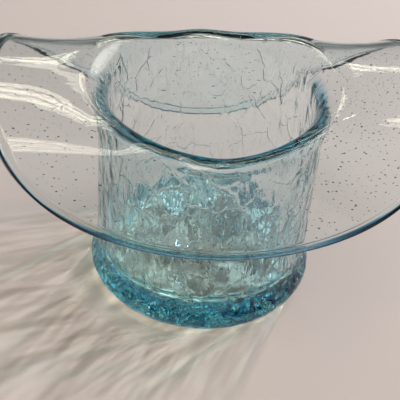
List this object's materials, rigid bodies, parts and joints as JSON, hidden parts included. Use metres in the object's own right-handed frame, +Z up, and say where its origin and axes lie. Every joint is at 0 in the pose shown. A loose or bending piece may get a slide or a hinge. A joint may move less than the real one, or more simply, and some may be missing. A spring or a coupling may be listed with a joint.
{
  "type": "glass hat vase",
  "caption": "Blown crackle-glass vase shaped as an upturned top hat, with a thick base, an upright crackled wall, and a thin brim folded down at front and back and spread at the ends.",
  "frame": {"origin": "middle of the foot, on the surface that the vase stands on", "axes": "+Z up out of the mouth, +X along the hat from wing to wing, +Y across the hat from flap to flap"},
  "size_m": [0.1494, 0.0914, 0.0841],
  "materials": {
    "aqua_glass": "clear, gloss"
  },
  "bodies": {
    "root": {"base": "aqua_glass", "crown": "aqua_glass", "collar": "aqua_glass", "brim": "aqua_glass", "rim": "aqua_glass"}
  },
  "joints": []
}
